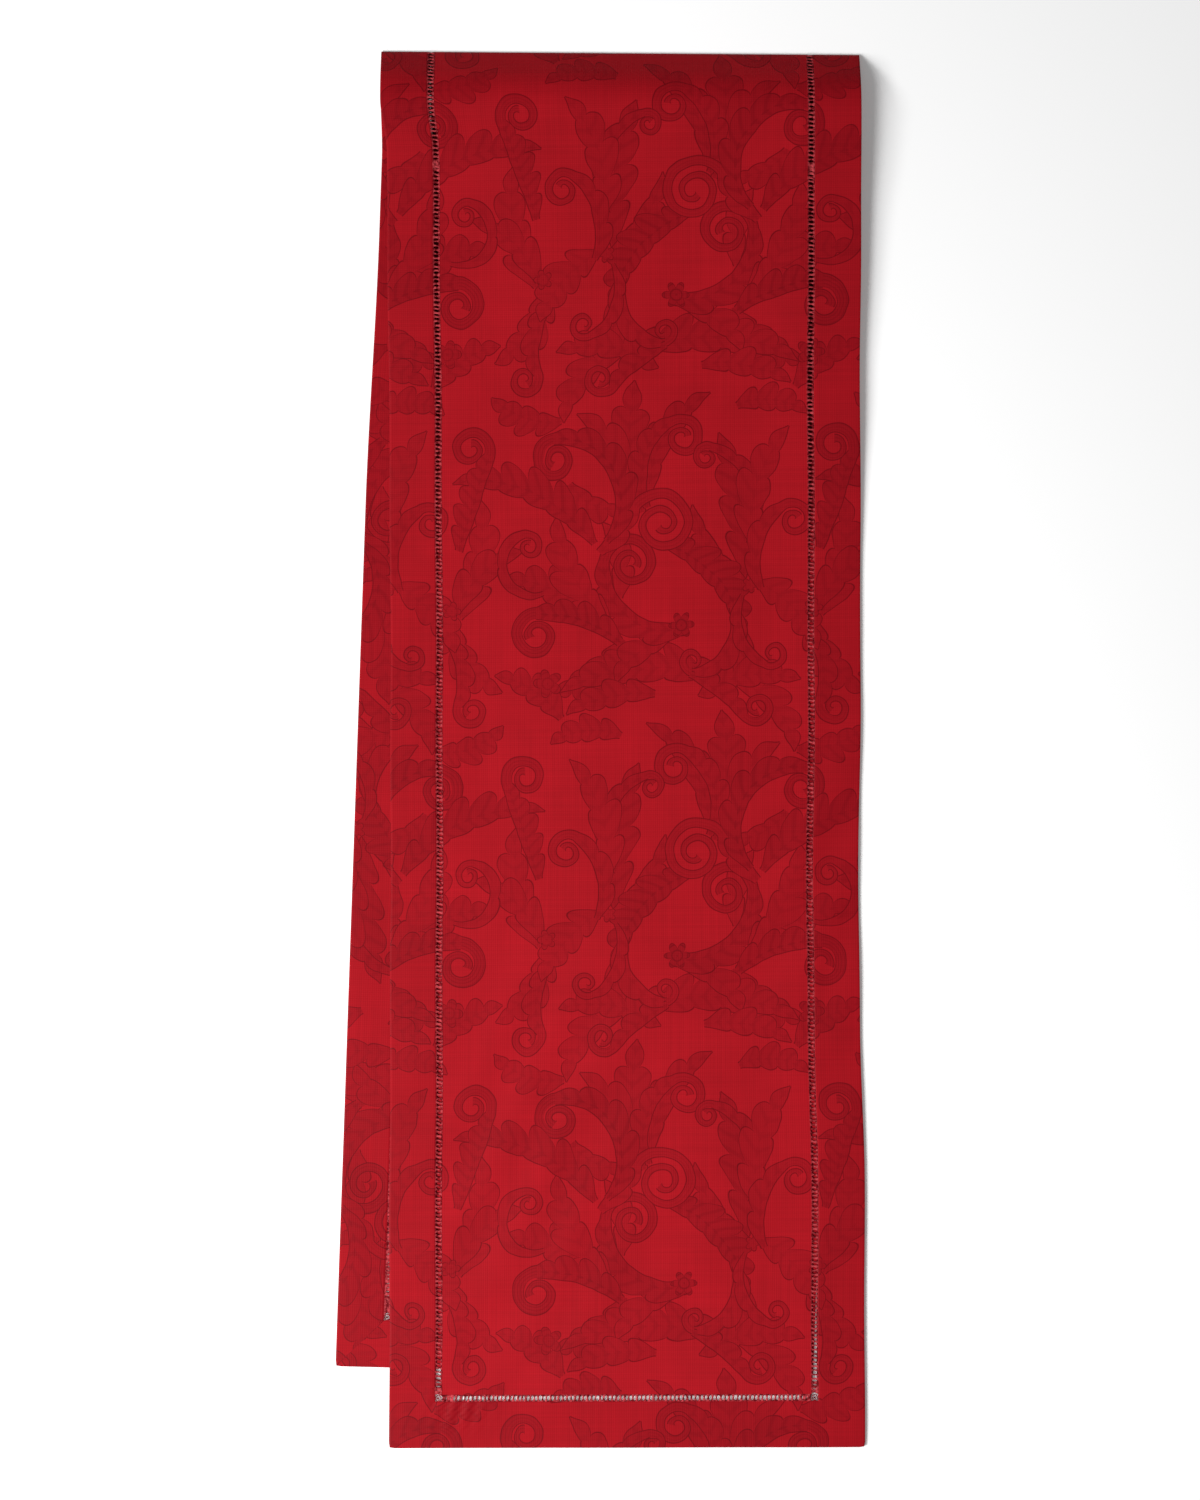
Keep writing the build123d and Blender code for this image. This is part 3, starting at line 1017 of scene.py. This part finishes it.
def mitre_stitches(side, end, way):
    """The folded edge of a hem's mitre and the slip stitches that close it, on the wrong side."""
    count = int(hem_width / mitre_stitch_step)
    corner = (side * half_width, end, hem_high)
    parts = [rod((side * hem_inner, end - way * hem_width, hem_high), corner, mitre_edge_radius)]
    wear(parts[0], sewing_thread)
    for number in range(count):
        depth = (number + 0.5) / count * hem_width
        place = (side * (hem_inner + depth), end - way * (hem_width - depth), hem_high + 0.03 * mm)
        parts.append(knot(place, slip_stitch_size, side * way * pi / 4 + 0.4))
        wear(parts[-1], sewing_thread)
    return parts


def part_stitching(part):
    """All the thread of one part of the runner."""
    start, stop, way, _ = part_runs[part]
    first = start + (end_cut if way < 0 else 0)
    last = stop - (end_cut if way > 0 else 0)
    middle_u = (panel_half + hem_inner) / 2
    # the lower leaf's wider bars close its slots: partly painted shade
    spread = wrong_side_fan_and_shade_cover if part == "lower" else 1.0
    pieces = {}
    for word, side in (("left", -1), ("right", 1)):
        skew = side * middle_u * tan(lean)
        low = first + (skew if way >= 0 else 0)
        high = last + (skew if way <= 0 else 0)
        bays = floor((high - low) / slot_pitch)
        spare = (high - low - bays * slot_pitch) / 2 if way else 0.0

        def down_side(x, y, side=side, low=low + spare):
            return side * middle_u + x, low + y

        pieces[f"{word}_hemstitch"] = hemstitch_ladder(
            f"{part}_{word}_hemstitching", bays, spread, abs(way), down_side)
    if way:
        end = stop if way > 0 else start
        middle_v = end - way * (hem_width + ladder_width / 2)
        bays = floor(2 * panel_half / slot_pitch)
        low_u = -bays * slot_pitch / 2

        def across_end(x, y):
            return low_u + y, middle_v - x

        pieces["end_hemstitch"] = hemstitch_ladder(
            f"{part}_end_hemstitching", bays, 1.15 * spread, 1, across_end)
        wheels = joined(f"{part}_corner_wheel_threads",
                        corner_wheel(-middle_u, middle_v) + corner_wheel(middle_u, middle_v))
        seams = joined(f"{part}_mitre_slip_stitches",
                       mitre_stitches(-1, end, way) + mitre_stitches(1, end, way))
        for piece in (wheels, seams):
            lay_down(piece)
        pieces["corner_wheels"] = wheels
        pieces["mitre_seams"] = seams
    return pieces


for part in part_runs:
    for word, piece in part_stitching(part).items():
        declare(piece, part, word)


# ---------------------------------------------------------------- floor, light and camera

def floor_and_light():
    """A plain pale floor and soft light, mostly from the front and the left."""
    alone()
    bpy.ops.mesh.primitive_plane_add(size=14, location=(0, 0, -floor_drop))
    floor = bpy.context.object
    floor.name = "studio_floor"
    material = bpy.data.materials.new("matt_white_board")
    material.use_nodes = True
    surface = material.node_tree.nodes["Principled BSDF"]
    surface.inputs["Base Color"].default_value = colour("#f6f6f6")
    surface.inputs["Roughness"].default_value = 0.9
    surface.inputs["Emission Color"].default_value = colour("#ffffff")
    surface.inputs["Emission Strength"].default_value = 0.16
    floor.data.materials.append(material)

    for name, place, size, power in (
        ("front_left_softbox", (-1.4, -1.0, 1.7), 1.2, 72),
        ("side_softbox", (-2.7, 0.4, 1.7), 0.7, 38),
    ):
        lamp = bpy.data.lights.new(name, "AREA")
        lamp.shape = "DISK"
        lamp.size = size
        lamp.energy = power
        light = bpy.data.objects.new(name, lamp)
        bpy.context.scene.collection.objects.link(light)
        light.location = place
        light.rotation_euler = (
            atan2(hypot(place[0], place[1]), place[2]), 0, atan2(place[0], -place[1]),
        )
    world = bpy.data.worlds.new("studio")
    world.use_nodes = True
    world.node_tree.nodes["Background"].inputs["Color"].default_value = colour("#ffffff")
    world.node_tree.nodes["Background"].inputs["Strength"].default_value = 0.17
    bpy.context.scene.world = world


def camera_above():
    """A long lens straight above the runner, its long side up the picture."""
    data = bpy.data.cameras.new("camera")
    camera = bpy.data.objects.new("camera", data)
    bpy.context.scene.collection.objects.link(camera)
    height = 2.6
    view_height = 1.262
    left_of_crease = 12.7 * mm
    behind_middle = 3.5 * mm
    data.sensor_width = 36
    data.lens = data.sensor_width * height / view_height
    camera.location = (crease_x - left_of_crease, (cad_box[0].y + cad_box[1].y) / 2 + behind_middle, height)
    camera.rotation_euler = (0, 0, radians(0.425))
    bpy.context.scene.camera = camera


floor_and_light()
camera_above()
bpy.context.scene.view_settings.view_transform = "Standard"
